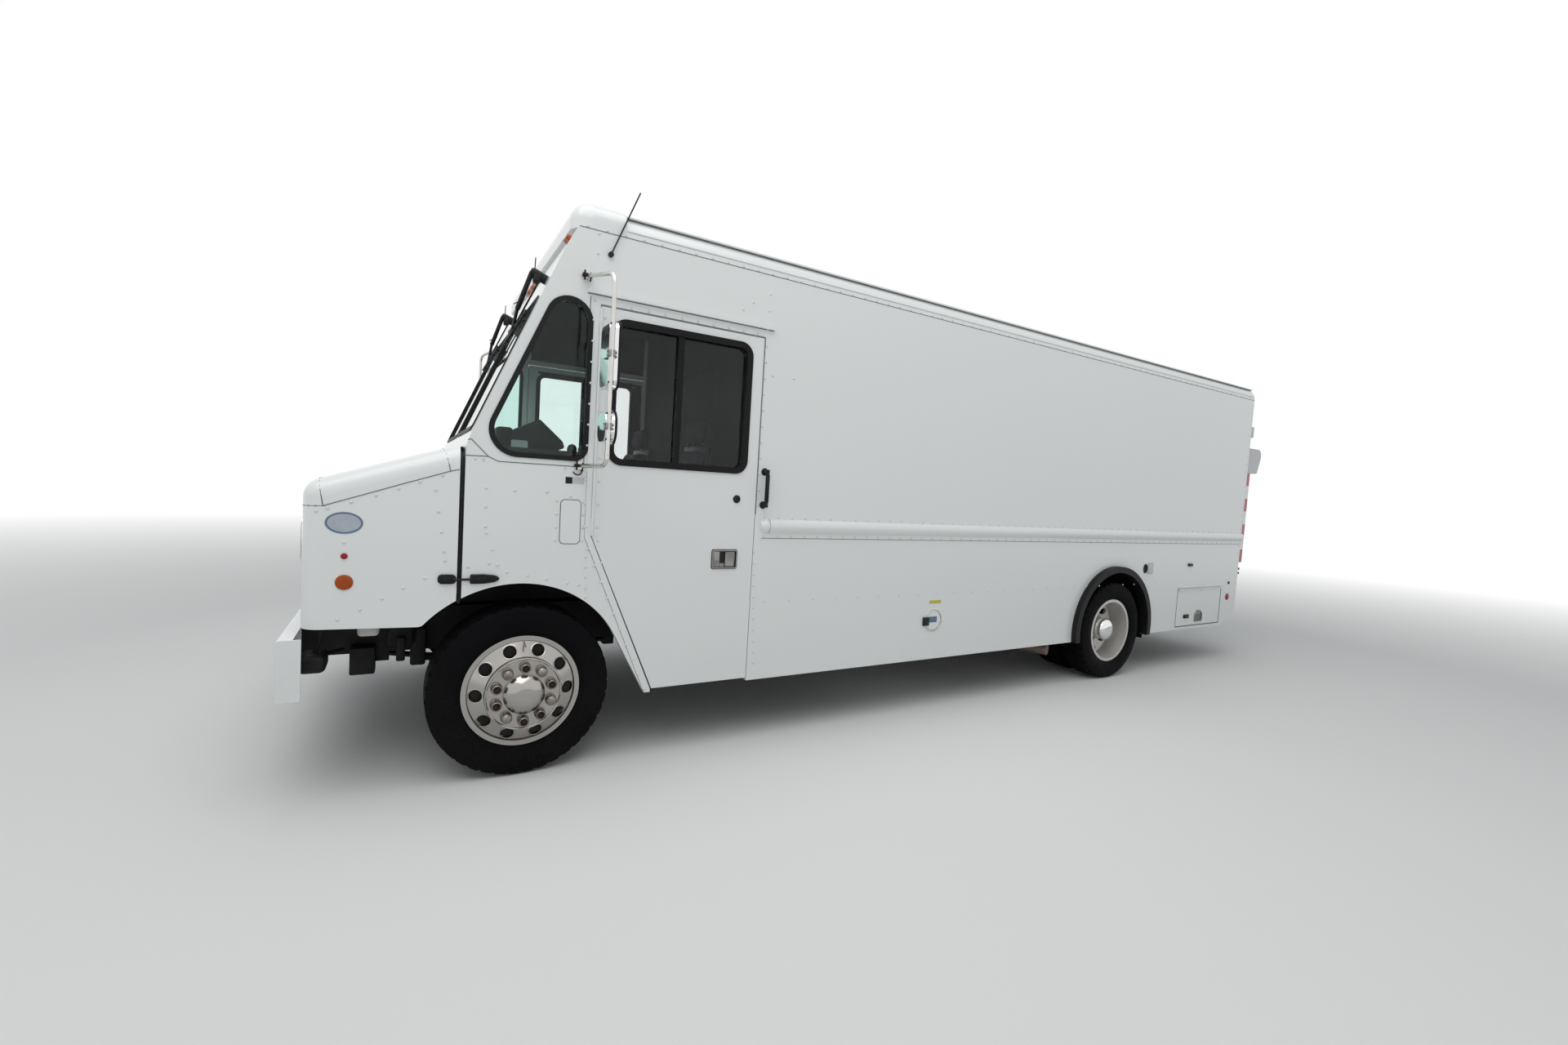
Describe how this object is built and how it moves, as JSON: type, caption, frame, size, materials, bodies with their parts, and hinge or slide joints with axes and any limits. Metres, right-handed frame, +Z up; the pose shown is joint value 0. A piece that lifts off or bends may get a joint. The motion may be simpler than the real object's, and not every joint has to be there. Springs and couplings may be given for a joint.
{
  "type": "step van",
  "caption": "Walk-in step van with sloped tilting hood, tall box body, hinged cab doors, double rear doors and dual rear wheels.",
  "frame": {"origin": "on the ground, below the centre of the van's bounding box", "axes": "+Z up, +Y towards the rear, +X towards the van's own left side"},
  "size_m": [3.122, 9.082, 3.2055],
  "materials": {
    "body_white": "gloss white paint",
    "bumper_white": "gloss white paint",
    "frame_black": "satin black paint",
    "floor_grey": "dull tread plate",
    "glass_clear": "green tinted",
    "glass_dark": "dark tinted",
    "rubber_black": "matt",
    "frame_trim": "satin black",
    "cast": "dull",
    "aluminium_tank": "brushed",
    "steel_exhaust": "weathered",
    "chrome": "bright",
    "plastic_black": "matt",
    "plastic_grey": "satin",
    "lens": "clear lens",
    "lamp_red": "lens",
    "lamp_amber": "lens",
    "seat_cloth": "woven",
    "tyre": "matt",
    "wheel_alloy": "polished"
  },
  "bodies": {
    "van": {"cab_side_left": "body_white", "cab_side_right": "body_white", "body_side_left": "body_white", "body_side_right": "body_white", "roof": "body_white", "roof_cap": "body_white", "cab_front": "body_white", "cab_glass": "glass_clear", "glazing_seals": "rubber_black", "rear_frame": "body_white", "cab_floor": "floor_grey", "front_wheelhouses": "frame_black", "load_floor": "floor_grey", "frame_rails": "frame_black", "cross_members": "frame_black", "front_axle": "cast", "leaf_springs": "frame_black", "rear_axle": "cast", "engine_block": "cast", "drive_shaft": "frame_black", "fuel_tank": "aluminium_tank", "exhaust": "steel_exhaust", "front_bumper": "bumper_white", "rear_bumper": "frame_black", "side_rails": "body_white", "arch_flares": "rubber_black", "mirror_arms": "bumper_white", "mirror_heads": "chrome", "cab_fittings": "plastic_black", "mud_flaps": "rubber_black", "rear_housing": "plastic_grey", "locker_box": "frame_black", "dashboard": "plastic_black", "seats": "seat_cloth", "tail_lamps": "lamp_red", "marker_lamps": "lamp_amber"},
    "hood": {"hood": "body_white", "grille": "plastic_black", "headlamps": "lens"},
    "door_left": {"door_left": "body_white", "door_frame_left": "frame_trim", "door_glass_left": "glass_dark"},
    "door_right": {"door_right": "body_white", "door_frame_right": "frame_trim", "door_glass_right": "glass_dark"},
    "rear_door_left": {"rear_door_left": "body_white"},
    "rear_door_right": {"rear_door_right": "body_white"},
    "locker_door": {"locker_door": "body_white"},
    "steering_wheel": {"steering_wheel": "plastic_black"},
    "knuckle_left": {"knuckle_left": "cast"},
    "knuckle_right": {"knuckle_right": "cast"},
    "tie_rod": {"tie_rod": "frame_black"},
    "wheel_fl": {"tyre_fl": "tyre", "rim_fl": "wheel_alloy"},
    "wheel_fr": {"tyre_fr": "tyre", "rim_fr": "wheel_alloy"},
    "wheels_rl": {"tyres_rl": "tyre", "rims_rl": "wheel_alloy"},
    "wheels_rr": {"tyres_rr": "tyre", "rims_rr": "wheel_alloy"}
  },
  "joints": [
    {"name": "hood_tilt", "type": "hinge", "parent": "van", "child": "hood", "pos_m": [0, -4.441, 0.815], "axis": [1, 0, 0], "range_deg": [0, 60]},
    {"name": "door_left_swing", "type": "hinge", "parent": "van", "child": "door_left", "pos_m": [1.206, -3.16, 1.8], "axis": [0, 0, -1], "range_deg": [0, 72]},
    {"name": "door_right_swing", "type": "hinge", "parent": "van", "child": "door_right", "pos_m": [-1.206, -3.16, 1.8], "axis": [0, 0, 1], "range_deg": [0, 72]},
    {"name": "rear_door_left_swing", "type": "hinge", "parent": "van", "child": "rear_door_left", "pos_m": [0.768, 4.224, 1.8], "axis": [0, 0, -1], "range_deg": [0, 110]},
    {"name": "rear_door_right_swing", "type": "hinge", "parent": "van", "child": "rear_door_right", "pos_m": [-0.768, 4.224, 1.8], "axis": [0, 0, 1], "range_deg": [0, 110]},
    {"name": "locker_door_lift", "type": "hinge", "parent": "van", "child": "locker_door", "pos_m": [1.206, 3.4135, 0.819], "axis": [0, -1, 0], "range_deg": [0, 90]},
    {"name": "steer_left", "type": "hinge", "parent": "van", "child": "knuckle_left", "pos_m": [0.88, -3.481, 0.462], "axis": [0, 0, 1], "range_deg": [-35, 35]},
    {"name": "steer_right", "type": "hinge", "parent": "van", "child": "knuckle_right", "pos_m": [-0.88, -3.481, 0.462], "axis": [0, 0, 1], "range_deg": [-35, 35]},
    {"name": "tie_rod_pivot", "type": "hinge", "parent": "knuckle_left", "child": "tie_rod", "pos_m": [0.84, -3.281, 0.342], "axis": [0, 0, 1], "range_deg": [-35, 35]},
    {"name": "steering_wheel_turn", "type": "hinge", "parent": "van", "child": "steering_wheel", "pos_m": [0.6, -3.181, 1.56], "axis": [0, 0.9079, 0.4192], "range_deg": [-560, 560]},
    {"name": "wheel_fl_spin", "type": "hinge", "parent": "knuckle_left", "child": "wheel_fl", "pos_m": [1.045, -3.481, 0.462], "axis": [1, 0, 0], "continuous": true},
    {"name": "wheel_fr_spin", "type": "hinge", "parent": "knuckle_right", "child": "wheel_fr", "pos_m": [-1.045, -3.481, 0.462], "axis": [1, 0, 0], "continuous": true},
    {"name": "wheels_rl_spin", "type": "hinge", "parent": "van", "child": "wheels_rl", "pos_m": [0.928, 1.802, 0.462], "axis": [1, 0, 0], "continuous": true},
    {"name": "wheels_rr_spin", "type": "hinge", "parent": "van", "child": "wheels_rr", "pos_m": [-0.928, 1.802, 0.462], "axis": [1, 0, 0], "continuous": true}
  ],
  "couplings": [
    {"joint": "steer_right", "follows": "steer_left", "ratio": 1},
    {"joint": "tie_rod_pivot", "follows": "steer_left", "ratio": -1},
    {"joint": "steering_wheel_turn", "follows": "steer_left", "ratio": 16}
  ]
}
